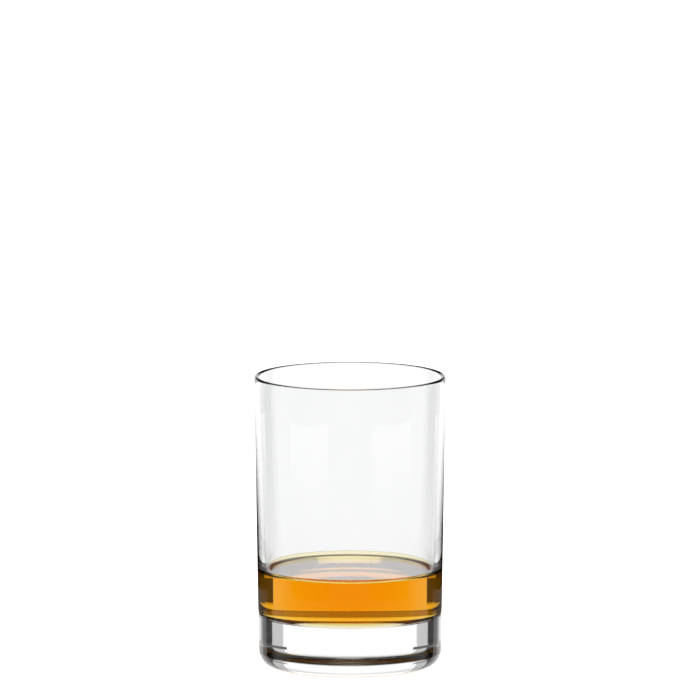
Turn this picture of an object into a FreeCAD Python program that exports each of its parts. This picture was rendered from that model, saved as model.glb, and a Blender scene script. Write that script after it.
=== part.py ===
import FreeCAD, Part
import math
import os

import Sketcher

# A plain whiskey tumbler with a thick solid base, and the whisky standing in it.
# Millimetres, +Z up, origin on the table under the middle of the foot. Both pieces are turned about Z.

doc = FreeCAD.newDocument("whiskey_tumbler")

sizes = doc.addObject("Spreadsheet::Sheet", "sizes")
driving = [
    ("overall_height", 107.8, "table to the top of the rim"),
    ("rim_radius", 35.0, "outside radius at the rim"),
    ("side_lean", 0.95, "degrees the outside wall leans outward"),
    ("rim_wall", 1.65, "wall at the rim, which is rounded right over"),
    ("inner_bow", 1350.0, "radius of the inside wall's long bow"),
    ("inner_low", 29.6, "inside radius where that bow reaches the floor"),
    ("floor_edge", 18.8, "height of the inside floor at the wall"),
    ("floor_middle", 18.9, "height of the inside floor in the middle"),
    ("floor_corner", 2.6, "radius of the inside bottom corner"),
    ("heel_corner", 6.0, "radius of the outside bottom corner"),
    ("heel_sweep", 40.0, "radius of the shallower sweep below that corner"),
    ("ring_outer", 20.2, "outside radius of the flat ring it stands on"),
    ("ring_inner", 18.0, "inside radius of that ring"),
    ("hollow_rise", 0.4, "height of the shallow hollow inside the ring"),
    ("fill_level", 35.5, "height of the whisky's flat surface"),
    ("creep_height", 1.7, "how far the whisky climbs the wall"),
    ("creep_radius", 2.2, "radius of its turned-up edge"),
]
for row, (alias, value, note) in enumerate(driving, start=1):
    sizes.set(f"A{row}", note)
    sizes.set(f"B{row}", str(value))
    sizes.setAlias(f"B{row}", alias)
doc.recompute()

# The same numbers, to draw each outline close to its solution before the spreadsheet takes over.
at = {alias: value for alias, value, note in driving}
START, END, CENTRE = 1, 2, 3
TABLE, AXIS = -1, -2


def new_body(label):
    """A body with an empty sketch on its own XZ plane."""
    body = doc.addObject("PartDesign::Body", label)
    body.Label = label
    sketch = body.newObject("Sketcher::SketchObject", label + "_outline")
    plane = [f for f in body.Origin.OriginFeatures if f.Role == "XZ_Plane"][0]
    sketch.AttachmentSupport = [(plane, "")]
    sketch.MapMode = "FlatFace"
    return body, sketch


def draw_line(sketch, a, b):
    return sketch.addGeometry(Part.LineSegment(FreeCAD.Vector(*a, 0), FreeCAD.Vector(*b, 0)), False)


def draw_arc(sketch, centre, a, b, construction=False):
    """An arc that runs anticlockwise from a to b."""
    circle = Part.Circle(FreeCAD.Vector(*centre, 0), FreeCAD.Vector(0, 0, 1), math.dist(centre, a))
    ends = [math.atan2(p[1] - centre[1], p[0] - centre[0]) for p in (a, b)]
    return sketch.addGeometry(Part.ArcOfCircle(circle, *ends), construction)


def rule(sketch, kind, *where):
    sketch.addConstraint(Sketcher.Constraint(kind, *where))


def drive(sketch, name, kind, where, value, expression):
    """A dimension that follows the spreadsheet."""
    number = sketch.addConstraint(Sketcher.Constraint(kind, *where, value))
    sketch.renameConstraint(number, name)
    sketch.setExpression("Constraints." + name, expression)


def drive_out(sketch, name, geometry, end, value, expression):
    """Distance of a point from the axis."""
    drive(sketch, name, "DistanceX", (TABLE, START, geometry, end), value, expression)


def drive_up(sketch, name, geometry, end, value, expression):
    """Height of a point over the table."""
    drive(sketch, name, "DistanceY", (TABLE, START, geometry, end), value, expression)


def crown_centre(edge, middle_height):
    """Centre, on the axis, of a shallow arc through an edge point and the axis at a height."""
    rise = middle_height - edge[1]
    return (0, middle_height - (edge[0] ** 2 + rise**2) / (2 * rise))


def turn(body, sketch):
    solid = body.newObject("PartDesign::Revolution", body.Label + "_turned")
    solid.Profile = sketch
    solid.ReferenceAxis = (sketch, ["V_Axis"])
    solid.Angle = 360.0
    doc.recompute()
    return solid


def round_floor_corner(body, solid):
    """Rounds the edge where the floor meets the wall, by the same radius on glass and whisky."""
    names = []
    for number, edge in enumerate(solid.Shape.Edges, start=1):
        if edge.Degenerated or not isinstance(edge.Curve, Part.Circle):
            continue
        out, up = edge.Curve.Radius - at["inner_low"], edge.Curve.Center.z - at["floor_edge"]
        if abs(out) < 0.01 and abs(up) < 0.01:
            names.append(f"Edge{number}")
    corner = body.newObject("PartDesign::Fillet", body.Label + "_corner")
    corner.Base = (solid, names)
    corner.Radius = at["floor_corner"]
    corner.setExpression("Radius", "sizes.floor_corner")
    doc.recompute()
    return corner


# Points that both outlines share: the inside wall, top and bottom, and the middle of its bow.
half_wall = at["rim_wall"] / 2
rim_height = at["overall_height"] - half_wall
wall_top = (at["rim_radius"] - at["rim_wall"], rim_height)
wall_low = (at["inner_low"], at["floor_edge"])
chord = math.dist(wall_low, wall_top)
reach = math.sqrt(at["inner_bow"] ** 2 - chord**2 / 4)
bow = (
    (wall_low[0] + wall_top[0]) / 2 - reach * (wall_top[1] - wall_low[1]) / chord,
    (wall_low[1] + wall_top[1]) / 2 + reach * (wall_top[0] - wall_low[0]) / chord,
)
floor_centre = crown_centre(wall_low, at["floor_middle"])

# ---- Tumbler: one piece of pressed clear glass ----------------------------------------------------
glass, outline = new_body("tumbler_glass")

hollow_edge = (at["ring_inner"], 0)
lean = math.radians(at["side_lean"])
corner_x = at["rim_radius"] - rim_height * math.tan(lean) - at["heel_corner"]
sweep_gap = at["heel_sweep"] - at["heel_corner"]
corner = (corner_x, at["heel_sweep"] - math.sqrt(sweep_gap**2 - (corner_x - at["ring_outer"]) ** 2))
swing = math.atan2(corner_x - at["ring_outer"], at["heel_sweep"] - corner[1])
heel = (
    at["ring_outer"] + at["heel_sweep"] * math.sin(swing),
    at["heel_sweep"] - at["heel_sweep"] * math.cos(swing),
)
side_low = (
    corner[0] + at["heel_corner"] * math.cos(lean),
    corner[1] - at["heel_corner"] * math.sin(lean),
)
side_top = (at["rim_radius"], rim_height)

hollow = draw_arc(outline, crown_centre(hollow_edge, at["hollow_rise"]), hollow_edge, (0, at["hollow_rise"]))
ring = draw_line(outline, hollow_edge, (at["ring_outer"], 0))
sweep = draw_arc(outline, (at["ring_outer"], at["heel_sweep"]), (at["ring_outer"], 0), heel)
turn_up = draw_arc(outline, corner, heel, side_low)
side = draw_line(outline, side_low, side_top)
rim = draw_arc(outline, (at["rim_radius"] - half_wall, rim_height), side_top, wall_top)
inside = draw_arc(outline, bow, wall_low, wall_top)
floor = draw_arc(outline, floor_centre, wall_low, (0, at["floor_middle"]))
middle = draw_line(outline, (0, at["floor_middle"]), (0, at["hollow_rise"]))

rule(outline, "PointOnObject", hollow, CENTRE, AXIS)
rule(outline, "PointOnObject", hollow, END, AXIS)
rule(outline, "PointOnObject", floor, CENTRE, AXIS)
rule(outline, "PointOnObject", floor, END, AXIS)
rule(outline, "PointOnObject", ring, START, TABLE)
rule(outline, "PointOnObject", ring, END, TABLE)
rule(outline, "Coincident", hollow, START, ring, START)
rule(outline, "Tangent", ring, END, sweep, START)
rule(outline, "Tangent", sweep, END, turn_up, START)
rule(outline, "Tangent", turn_up, END, side, START)
rule(outline, "Coincident", side, END, rim, START)
rule(outline, "Coincident", rim, END, inside, END)
rule(outline, "Coincident", inside, START, floor, START)
rule(outline, "Coincident", floor, END, middle, START)
rule(outline, "Coincident", middle, END, hollow, END)
rule(outline, "Horizontal", rim, START, rim, CENTRE)
rule(outline, "Horizontal", rim, END, rim, CENTRE)
drive_out(outline, "ring_in", ring, START, at["ring_inner"], "sizes.ring_inner")
drive_out(outline, "ring_out", ring, END, at["ring_outer"], "sizes.ring_outer")
drive_up(outline, "hollow_up", hollow, END, at["hollow_rise"], "sizes.hollow_rise")
drive(outline, "sweep_r", "Radius", (sweep,), at["heel_sweep"], "sizes.heel_sweep")
drive(outline, "corner_r", "Radius", (turn_up,), at["heel_corner"], "sizes.heel_corner")
drive(outline, "lean", "Angle", (side,), math.pi / 2 - lean, "90 deg - sizes.side_lean * 1 deg")
drive(outline, "rim_r", "Radius", (rim,), half_wall, "sizes.rim_wall / 2")
drive_out(outline, "rim_out", rim, CENTRE, side_top[0] - half_wall, "sizes.rim_radius - sizes.rim_wall / 2")
drive_up(outline, "rim_up", rim, CENTRE, rim_height, "sizes.overall_height - sizes.rim_wall / 2")
drive_out(outline, "low_out", inside, START, wall_low[0], "sizes.inner_low")
drive_up(outline, "low_up", inside, START, wall_low[1], "sizes.floor_edge")
drive(outline, "bow_r", "Radius", (inside,), at["inner_bow"], "sizes.inner_bow")
drive_up(outline, "floor_up", floor, END, at["floor_middle"], "sizes.floor_middle")
doc.recompute()

round_floor_corner(glass, turn(glass, outline))

# ---- Whisky: fills the bottom of the glass, with its edge turned up against the wall --------------
whisky, outline = new_body("whisky")

wetted = (0, at["fill_level"] + at["creep_height"])
wetted = (bow[0] + math.sqrt(at["inner_bow"] ** 2 - (wetted[1] - bow[1]) ** 2), wetted[1])
creep_run = math.sqrt(at["creep_radius"] ** 2 - (at["creep_radius"] - at["creep_height"]) ** 2)
flat_end = (wetted[0] - creep_run, at["fill_level"])

floor = draw_arc(outline, floor_centre, wall_low, (0, at["floor_middle"]))
whole_bow = draw_arc(outline, bow, wall_low, wall_top, True)
inside = draw_arc(outline, bow, wall_low, wetted)
creep = draw_arc(outline, (flat_end[0], flat_end[1] + at["creep_radius"]), flat_end, wetted)
level = draw_line(outline, (0, at["fill_level"]), flat_end)
middle = draw_line(outline, (0, at["fill_level"]), (0, at["floor_middle"]))

rule(outline, "PointOnObject", floor, CENTRE, AXIS)
rule(outline, "PointOnObject", floor, END, AXIS)
rule(outline, "PointOnObject", level, START, AXIS)
rule(outline, "Coincident", floor, START, whole_bow, START)
rule(outline, "Coincident", inside, START, whole_bow, START)
rule(outline, "Coincident", inside, CENTRE, whole_bow, CENTRE)
rule(outline, "Coincident", inside, END, creep, END)
rule(outline, "Tangent", level, END, creep, START)
rule(outline, "Coincident", level, START, middle, START)
rule(outline, "Coincident", middle, END, floor, END)
rule(outline, "Horizontal", level)
drive_out(outline, "low_out", whole_bow, START, wall_low[0], "sizes.inner_low")
drive_up(outline, "low_up", whole_bow, START, wall_low[1], "sizes.floor_edge")
drive_out(outline, "top_out", whole_bow, END, wall_top[0], "sizes.rim_radius - sizes.rim_wall")
drive_up(outline, "top_up", whole_bow, END, wall_top[1], "sizes.overall_height - sizes.rim_wall / 2")
drive(outline, "bow_r", "Radius", (whole_bow,), at["inner_bow"], "sizes.inner_bow")
drive_up(outline, "floor_up", floor, END, at["floor_middle"], "sizes.floor_middle")
drive_up(outline, "level_up", level, START, at["fill_level"], "sizes.fill_level")
drive_up(outline, "wet_up", inside, END, wetted[1], "sizes.fill_level + sizes.creep_height")
drive(outline, "creep_r", "Radius", (creep,), at["creep_radius"], "sizes.creep_radius")
doc.recompute()

round_floor_corner(whisky, turn(whisky, outline))

# ---- Check and write ------------------------------------------------------------------------------
doc.recompute()
for item in doc.Objects:
    if "Invalid" in item.State or "Error" in item.State:
        raise RuntimeError(f"{item.Label} did not compute: {item.State}")
    if item.isDerivedFrom("Sketcher::SketchObject") and item.solve() != 0:
        raise RuntimeError(f"{item.Label} does not solve")

os.makedirs("parts", exist_ok=True)
for body in (glass, whisky):
    shape = body.Shape
    if shape.isNull() or not shape.isValid() or len(shape.Solids) != 1:
        raise RuntimeError(f"{body.Label} is not one sound solid")
    shape.exportStep(f"parts/{body.Label}.step")
    box = shape.optimalBoundingBox()
    print(
        f"{body.Label}: {box.XLength:.3f} x {box.YLength:.3f} x {box.ZLength:.3f} mm, "
        f"z {box.ZMin:.3f} to {box.ZMax:.3f}, {shape.Volume / 1000:.3f} cm3"
    )
shared = glass.Shape.common(whisky.Shape).Volume
print(f"glass and whisky share {shared:.6f} mm3, gap {glass.Shape.distToShape(whisky.Shape)[0]:.6f} mm")
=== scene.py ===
import math

import bmesh
import bpy
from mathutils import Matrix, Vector


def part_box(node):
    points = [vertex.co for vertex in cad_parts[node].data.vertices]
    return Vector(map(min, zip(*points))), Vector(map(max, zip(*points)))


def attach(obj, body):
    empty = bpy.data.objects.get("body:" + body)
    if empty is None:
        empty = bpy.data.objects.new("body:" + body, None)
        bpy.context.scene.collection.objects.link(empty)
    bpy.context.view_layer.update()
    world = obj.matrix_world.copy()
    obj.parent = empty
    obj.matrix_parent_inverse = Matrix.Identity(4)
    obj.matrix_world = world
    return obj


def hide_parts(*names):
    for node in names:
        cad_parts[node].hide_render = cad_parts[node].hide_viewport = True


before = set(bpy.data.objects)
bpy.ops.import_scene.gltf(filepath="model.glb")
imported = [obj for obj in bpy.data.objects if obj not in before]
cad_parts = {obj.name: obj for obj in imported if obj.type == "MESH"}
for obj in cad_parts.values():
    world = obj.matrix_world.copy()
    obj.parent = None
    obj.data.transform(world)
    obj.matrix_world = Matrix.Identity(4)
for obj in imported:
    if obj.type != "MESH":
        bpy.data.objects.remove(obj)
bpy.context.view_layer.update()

# ---- Tumbler ----------------------------------------------------------------------------------------
# One piece of clear soda-lime glass, pressed in a mould and then fire-polished, so the rim is rounded
# right over and every face is smooth. The thick solid base stands on a narrow ring round a shallow
# hollow. Outlines are drawn in millimetres as (out from the axis, up from the table), then turned.
glass_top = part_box("tumbler_glass")[1] * 1000
half_wall = 0.825
rim_middle = Vector((glass_top.x - half_wall, glass_top.z - half_wall))
side_lean = math.radians(0.95)
heel_corner = 6.0
heel_sweep = 40.0
ring_outer = 20.2
ring_inner = 18.0
hollow_rise = 0.4
wall_bow = 1350.0
wall_top = Vector((rim_middle.x - half_wall, rim_middle.y))
wall_low = Vector((29.6, 18.8))
floor_middle = 18.9
floor_corner = 2.6
wet_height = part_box("whisky")[1].z * 1000
slices = 256


def start_outline(point):
    """An empty outline and its first point."""
    outline = bmesh.new()
    return outline, bmesh.ops.create_vert(outline, co=(point[0], 0, point[1]))["vert"][0]


def run_to(outline, tip, end, steps=1):
    """Carries an outline on in a straight run, cut into equal steps."""
    begin = tip.co.xz
    for step in range(1, steps + 1):
        tip = bmesh.ops.extrude_vert_indiv(outline, verts=[tip])["verts"][0]
        tip.co.xz = begin.lerp(Vector(end), step / steps)
    return tip


def arc_to(outline, tip, centre, end, steps):
    """Carries an outline on round a centre, the short way, to an end on the same circle."""
    turn = (tip.co.xz - Vector(centre)).angle_signed(Vector(end) - Vector(centre))
    arc = bmesh.ops.spin(
        outline, geom=[tip], cent=(centre[0], 0, centre[1]), axis=(0, 1, 0), angle=turn, steps=steps
    )
    tip = [part for part in arc["geom_last"] if isinstance(part, bmesh.types.BMVert)][0]
    tip.co.xz = end
    return tip


def turned_piece(name, outline, materials):
    """Turns a finished outline once round the axis and makes a piece of it, in metres."""
    bmesh.ops.spin(
        outline,
        geom=outline.verts[:] + outline.edges[:],
        cent=(0, 0, 0),
        axis=(0, 0, 1),
        angle=2 * math.pi,
        steps=slices,
        use_merge=True,
    )
    bmesh.ops.remove_doubles(outline, verts=outline.verts[:], dist=0.001)
    bmesh.ops.recalc_face_normals(outline, faces=outline.faces[:])
    bmesh.ops.scale(outline, vec=(0.001, 0.001, 0.001), verts=outline.verts[:])
    for face in outline.faces:
        face.smooth = True
    mesh = bpy.data.meshes.new(name)
    outline.to_mesh(mesh)
    outline.free()
    for material in materials:
        mesh.materials.append(material)
    piece = bpy.data.objects.new(name, mesh)
    bpy.context.scene.collection.objects.link(piece)
    return piece


def crown_centre(edge, middle):
    """Centre, on the axis, of a shallow arc through an edge point and a middle height."""
    rise = middle - edge[1]
    return Vector((0, middle - (edge[0] ** 2 + rise**2) / (2 * rise)))


def inside_shape(skin):
    """The inside of the glass, shrunk by a skin: its wall, its rounded corner and its floor."""
    chord = wall_top - wall_low
    reach = math.sqrt(wall_bow**2 - chord.length_squared / 4)
    bow = (wall_low + wall_top) / 2 + Vector((-chord.y, chord.x)).normalized() * reach
    crown = crown_centre(wall_low, floor_middle)
    crown_radius = floor_middle - crown.y
    # The corner's centre lies one corner radius inside both the wall's bow and the floor's crown.
    from_bow, from_crown = wall_bow - floor_corner, crown_radius + floor_corner
    between = crown - bow
    along = (from_bow**2 - from_crown**2 + between.length_squared) / (2 * between.length)
    aside = math.sqrt(from_bow**2 - along**2)
    unit = between.normalized()
    corner = bow + unit * along + Vector((-unit.y, unit.x)) * aside
    return {
        "bow": bow,
        "corner": corner,
        "crown": crown,
        "wall_end": bow + (corner - bow).normalized() * (wall_bow - skin),
        "floor_end": crown + (corner - crown).normalized() * (crown_radius + skin),
        "middle": Vector((0, floor_middle + skin)),
    }


def wall_point(inside, up, skin=0.0):
    """The point of the inside wall at a height."""
    bow = inside["bow"]
    return Vector((bow.x + math.sqrt((wall_bow - skin) ** 2 - (up - bow.y) ** 2), up))


def heel_shape():
    """The heel: a shallow sweep off the ring, then the tighter corner that meets the leaning side."""
    middle_up = heel_corner
    for settle in range(12):
        out = rim_middle.x + half_wall - (rim_middle.y - middle_up) * math.tan(side_lean)
        out -= heel_corner / math.cos(side_lean)
        gap = heel_sweep - heel_corner
        middle_up = heel_sweep - math.sqrt(gap**2 - (out - ring_outer) ** 2)
    corner = Vector((out, middle_up))
    sweep = Vector((ring_outer, heel_sweep))
    join = sweep + (corner - sweep).normalized() * heel_sweep
    side = corner + Vector((math.cos(side_lean), -math.sin(side_lean))) * heel_corner
    return sweep, join, corner, side


def clear_glass(name, ior):
    """Clear glass with the faint waviness of pressed ware. The ior is that of glass over what it meets."""
    material = bpy.data.materials.new(name)
    material.use_nodes = True
    nodes, links = material.node_tree.nodes, material.node_tree.links
    surface = nodes["Principled BSDF"]
    surface.inputs["Base Color"].default_value = (0.995, 1.0, 0.998, 1)
    surface.inputs["Roughness"].default_value = 0.0
    surface.inputs["IOR"].default_value = ior
    surface.inputs["Transmission Weight"].default_value = 1.0
    place = nodes.new("ShaderNodeTexCoord")
    stretch = nodes.new("ShaderNodeMapping")
    stretch.inputs["Scale"].default_value = (1, 1, 0.3)
    waves = nodes.new("ShaderNodeTexNoise")
    waves.inputs["Scale"].default_value = 60
    waves.inputs["Detail"].default_value = 1
    bump = nodes.new("ShaderNodeBump")
    bump.inputs["Strength"].default_value = 1.0
    bump.inputs["Distance"].default_value = 0.00002
    links.new(place.outputs["Object"], stretch.inputs["Vector"])
    links.new(stretch.outputs["Vector"], waves.inputs["Vector"])
    links.new(waves.outputs["Fac"], bump.inputs["Height"])
    links.new(bump.outputs["Normal"], surface.inputs["Normal"])
    return material


inside = inside_shape(0)
sweep, heel_join, heel_middle, side_low = heel_shape()
outline, tip = start_outline((0, hollow_rise))
tip = arc_to(outline, tip, crown_centre((ring_inner, 0), hollow_rise), (ring_inner, 0), 12)
tip = run_to(outline, tip, (ring_outer, 0))
tip = arc_to(outline, tip, sweep, heel_join, 16)
tip = arc_to(outline, tip, heel_middle, side_low, 32)
tip = run_to(outline, tip, (glass_top.x, rim_middle.y), 30)
tip = arc_to(outline, tip, rim_middle, (rim_middle.x, glass_top.z), 12)
tip = arc_to(outline, tip, rim_middle, wall_top, 12)
tip = arc_to(outline, tip, inside["bow"], wall_point(inside, wet_height), 50)
tip = arc_to(outline, tip, inside["bow"], inside["wall_end"], 16)
tip = arc_to(outline, tip, inside["corner"], inside["floor_end"], 28)
arc_to(outline, tip, inside["crown"], inside["middle"], 14)

# The stretch of the inside that the whisky wets bends light less, because light goes on into liquid.
glass_ior, whisky_ior = 1.52, 1.36
tumbler = turned_piece(
    "clear_tumbler",
    outline,
    [
        clear_glass("tumbler_glass", glass_ior),
        clear_glass("tumbler_glass_under_whisky", glass_ior / whisky_ior),
    ],
)
inside_reach = wall_top.x - 1
for face in tumbler.data.polygons:
    out, up = face.center.xy.length * 1000, face.center.z * 1000
    if out < inside_reach and wall_low.y < up < wet_height:
        face.material_index = 1
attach(tumbler, "root")
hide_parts("tumbler_glass")

# ---- Whisky -----------------------------------------------------------------------------------------
# The measure of amber whisky, which takes the shape of the bottom of the glass. Its top is level, and
# turns up in a small curve where it wets the wall. It stands a hair clear of the glass, so that light
# passes the two faces in a fixed order.
fill_level = 35.5
creep_radius = 2.2
creep_height = wet_height - fill_level
skin = 0.02
amber = (0.985, 0.818, 0.0, 1)
amber_density = 120


def whisky_body(name, ior, gloss=0.0):
    """Clear amber liquid, coloured by its depth, with a second clear gloss over its free surface."""
    material = bpy.data.materials.new(name)
    material.use_nodes = True
    nodes, links = material.node_tree.nodes, material.node_tree.links
    surface = nodes["Principled BSDF"]
    surface.inputs["Base Color"].default_value = (1, 1, 1, 1)
    surface.inputs["Roughness"].default_value = 0.0
    surface.inputs["IOR"].default_value = ior
    surface.inputs["Transmission Weight"].default_value = 1.0
    depth = nodes.new("ShaderNodeVolumeAbsorption")
    depth.inputs["Color"].default_value = amber
    depth.inputs["Density"].default_value = amber_density
    surface.inputs["Coat Weight"].default_value = gloss
    surface.inputs["Coat IOR"].default_value = whisky_ior
    surface.inputs["Coat Roughness"].default_value = 0.0
    links.new(depth.outputs["Volume"], nodes["Material Output"].inputs["Volume"])
    return material


inside = inside_shape(skin)
wet_edge = wall_point(inside, wet_height, skin)
creep_run = math.sqrt(creep_radius**2 - (creep_radius - creep_height) ** 2)
level_end = Vector((wet_edge.x - creep_run, fill_level))
outline, tip = start_outline((0, fill_level))
tip = run_to(outline, tip, level_end, 12)
tip = arc_to(outline, tip, level_end + Vector((0, creep_radius)), wet_edge, 24)
tip = arc_to(outline, tip, inside["bow"], inside["wall_end"], 16)
tip = arc_to(outline, tip, inside["corner"], inside["floor_end"], 28)
arc_to(outline, tip, inside["crown"], inside["middle"], 14)
whisky = turned_piece(
    "whisky_measure",
    outline,
    [whisky_body("whisky_top", whisky_ior, gloss=1.0), whisky_body("whisky_against_glass", 1.0)],
)
# The sides and bottom meet the glass, whose own wetted faces already bend the light for both.
for face in whisky.data.polygons:
    if face.normal.z < 0.1:
        face.material_index = 1
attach(whisky, "root")
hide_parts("whisky")

# ---- Floor, cards and light -------------------------------------------------------------------------
# A plain pale floor and a soft white room. Clear glass shows its shape only by what is dark beside it,
# so cards stand at the four corners and the room has dark stretches, all out of the camera's sight.


def stage_sheet(name, width, height, material):
    """A flat sheet that lies level about the origin, for the floor or for a card."""
    sheet = bmesh.new()
    bmesh.ops.create_grid(sheet, x_segments=1, y_segments=1, size=0.5)
    bmesh.ops.scale(sheet, vec=(width, height, 1), verts=sheet.verts[:])
    mesh = bpy.data.meshes.new(name)
    sheet.to_mesh(mesh)
    sheet.free()
    mesh.materials.append(material)
    made = bpy.data.objects.new(name, mesh)
    bpy.context.scene.collection.objects.link(made)
    return made


# The paint glows a little, so that the floor stays pale right up to the foot of the glass.
floor_size = 8
floor_drop = 0.0001
paint = bpy.data.materials.new("pale_floor")
paint.use_nodes = True
surface = paint.node_tree.nodes["Principled BSDF"]
surface.inputs["Base Color"].default_value = (0.7, 0.7, 0.7, 1)
surface.inputs["Roughness"].default_value = 0.8
surface.inputs["Emission Color"].default_value = (1, 1, 1, 1)
surface.inputs["Emission Strength"].default_value = 0.93
floor = stage_sheet("floor", floor_size, floor_size, paint)
floor.location.z = -floor_drop
floor.visible_transmission = False
floor.visible_glossy = False

# A tall card is black low down and fades to pale, so the wall's dark edge lines thin out upwards. Only
# mirrored light meets it.
grey_from, grey_to = 0.035, 0.075
palest = 0.9
graded = bpy.data.materials.new("graded_card")
graded.use_nodes = True
nodes, links = graded.node_tree.nodes, graded.node_tree.links
glow = nodes.new("ShaderNodeEmission")
place = nodes.new("ShaderNodeNewGeometry")
parts = nodes.new("ShaderNodeSeparateXYZ")
fade = nodes.new("ShaderNodeMapRange")
fade.inputs["From Min"].default_value = grey_from
fade.inputs["From Max"].default_value = grey_to
fade.inputs["To Min"].default_value = 0.0
fade.inputs["To Max"].default_value = palest
links.new(place.outputs["Position"], parts.inputs["Vector"])
links.new(parts.outputs["Z"], fade.inputs["Value"])
links.new(fade.outputs["Result"], glow.inputs["Color"])
links.new(glow.outputs["Emission"], nodes["Material Output"].inputs["Surface"])

# A low card darkens the sides of the whisky and of the base. It vanishes for light that crosses the four
# faces of the two empty walls, so it never shows as a bar above the whisky.
card_glow = 0.12
empty_wall_faces = 4
dim = bpy.data.materials.new("dim_card")
dim.use_nodes = True
nodes, links = dim.node_tree.nodes, dim.node_tree.links
glow = nodes.new("ShaderNodeEmission")
glow.inputs["Strength"].default_value = card_glow
gone = nodes.new("ShaderNodeBsdfTransparent")
path = nodes.new("ShaderNodeLightPath")
crossed = nodes.new("ShaderNodeMath")
crossed.operation = "COMPARE"
crossed.inputs[1].default_value = empty_wall_faces
crossed.inputs[2].default_value = 0.5
mix = nodes.new("ShaderNodeMixShader")
links.new(path.outputs["Transmission Depth"], crossed.inputs[0])
links.new(crossed.outputs["Value"], mix.inputs["Fac"])
links.new(glow.outputs["Emission"], mix.inputs[1])
links.new(gone.outputs["BSDF"], mix.inputs[2])
links.new(mix.outputs["Shader"], nodes["Material Output"].inputs["Surface"])

card_width, card_distance = 0.091, 0.108
low_bottom, low_top, tall_top = 0.0045, 0.0145, 0.08
for quarter in range(4):
    facing = math.radians(45 + 90 * quarter)
    for name, bottom, top, material in (
        ("low", low_bottom, low_top, dim),
        ("tall", low_top, tall_top, graded),
    ):
        card = stage_sheet(f"{name}_card_{quarter}", card_width, top - bottom, material)
        card.rotation_euler = (math.radians(90), 0, facing)
        card.location = (
            -math.sin(facing) * card_distance,
            math.cos(facing) * card_distance,
            (bottom + top) / 2,
        )
        card.visible_camera = False
        card.visible_diffuse = False
        card.visible_shadow = False
        card.visible_transmission = name == "low"

room_strength = 1.1
room_white = (0.91, 0.91, 0.91, 1)
room = bpy.data.worlds.new("soft_room")
bpy.context.scene.world = room
room.use_nodes = True
nodes, links = room.node_tree.nodes, room.node_tree.links


def join_up(sockets, values):
    """Feeds each socket from another node, or sets it to a plain value."""
    for socket, value in zip(sockets, values):
        if isinstance(value, bpy.types.NodeSocket):
            links.new(value, socket)
        else:
            socket.default_value = value


def reckon(operation, *values):
    """One step of arithmetic on the room's directions."""
    node = nodes.new("ShaderNodeMath")
    node.operation = operation
    join_up(node.inputs, values)
    return node.outputs["Value"]


def brightness(fraction, span, stops):
    """Brightness over an angle, from stops of (degrees, brightness)."""
    node = nodes.new("ShaderNodeValToRGB")
    links.new(fraction, node.inputs["Fac"])
    elements = node.color_ramp.elements
    elements[0].position, elements[1].position = stops[0][0] / span, stops[-1][0] / span
    for degrees, bright in stops[1:-1]:
        elements.new(degrees / span)
    for element, (degrees, bright) in zip(elements, stops):
        element.color = (bright, bright, bright, 1)
    return node.outputs["Color"]


def blend(fraction, first, second, how="MIX"):
    """Two colours of the room, mixed or multiplied."""
    node = nodes.new("ShaderNodeMix")
    node.data_type = "RGBA"
    node.blend_type = how
    join_up([node.inputs["Factor"], node.inputs["A"], node.inputs["B"]], (fraction, first, second))
    return node.outputs["Result"]


aim = nodes.new("ShaderNodeTexCoord")
parts = nodes.new("ShaderNodeSeparateXYZ")
links.new(aim.outputs["Generated"], parts.inputs["Vector"])
aside, ahead, above = (parts.outputs[axis] for axis in "XYZ")
path = nodes.new("ShaderNodeLightPath")
bounced = reckon("GREATER_THAN", path.outputs["Glossy Depth"], 0.5)

# Round the glass, in degrees away from straight behind it. What is seen through the glass is alike from
# the front and the back, and nearly so from the sides. What it mirrors is dark on the camera's side,
# where a bright room would veil what is inside.
quarter_turn = reckon(
    "DIVIDE", reckon("ARCTAN2", reckon("ABSOLUTE", aside), reckon("ABSOLUTE", ahead)), math.pi / 2
)
seen_through = brightness(
    quarter_turn, 90, [(0, 1), (36, 1), (37, 0.55), (48, 0.55), (49, 0.05), (70, 0.05), (76, 0.8), (90, 0.8)]
)
half_turn = reckon("DIVIDE", reckon("ABSOLUTE", reckon("ARCTAN2", aside, ahead)), math.pi)
mirrored = brightness(
    half_turn, 180, [(0, 1), (36, 1), (37, 0.55), (48, 0.55), (49, 0.01), (62, 0.01), (72, 0.45), (110, 0.07)]
)

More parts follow.
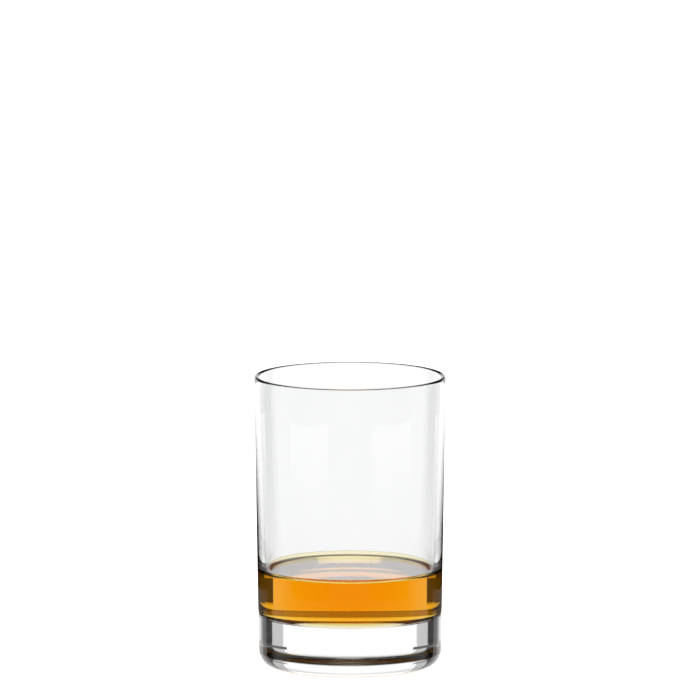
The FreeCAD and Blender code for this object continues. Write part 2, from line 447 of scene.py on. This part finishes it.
# From straight down, at 0 degrees, to straight up, at 180. Dark bands far below and far above the level
# draw the rim as a thin dark line. Seen from well above, the glass has pale table behind it all round.
height = reckon("ADD", reckon("DIVIDE", reckon("ARCSINE", above), math.pi), 0.5)
downward = brightness(height, 180, [(0, 1), (75.5, 1), (79, 0), (180, 0)])
around = blend(bounced, blend(downward, seen_through, (1, 1, 1, 1)), mirrored)
over_through = brightness(
    height, 180, [(0, 1), (33, 1), (37, 0.15), (54, 0.15), (60, 1), (105, 1), (120, 0.4), (135, 0.03)]
)
over_mirrored = brightness(height, 180, [(0, 1), (99.5, 1), (101.5, 0.05), (120, 0.05), (126, 1), (180, 1)])
overhead = blend(bounced, over_through, over_mirrored)

# The camera itself and all matt surfaces meet plain white.
unshaped = reckon("MAXIMUM", path.outputs["Is Camera Ray"], path.outputs["Is Diffuse Ray"])
light = blend(unshaped, blend(1.0, around, overhead, "MULTIPLY"), room_white)
links.new(light, nodes["Background"].inputs["Color"])
nodes["Background"].inputs["Strength"].default_value = room_strength

# ---- Camera -----------------------------------------------------------------------------------------
# A long lens eleven metres off, which looks down a little at the glass. It aims at a point on the
# glass's axis, just over the rim.
look_down = math.radians(8.509)
camera_distance = 11.0
width_seen = 0.2555
sensor_width = 36
sight_limit = 50
aim_height = glass_top.z / 1000 + 0.0094
camera = bpy.data.objects.new("camera", bpy.data.cameras.new("camera"))
bpy.context.scene.collection.objects.link(camera)
camera.data.sensor_width = sensor_width
camera.data.lens = sensor_width * camera_distance / width_seen
camera.data.clip_end = sight_limit
camera.location = (
    0,
    -camera_distance * math.cos(look_down),
    aim_height + camera_distance * math.sin(look_down),
)
camera.rotation_euler = (math.radians(90) - look_down, 0, 0)
scene = bpy.context.scene
scene.camera = camera
scene.view_settings.view_transform = "Standard"
# Light crosses many faces and turns about inside the thick base, so it needs many bounces.
scene.cycles.max_bounces = 24
scene.cycles.transmission_bounces = 24
scene.cycles.glossy_bounces = 12
scene.cycles.transparent_max_bounces = 24
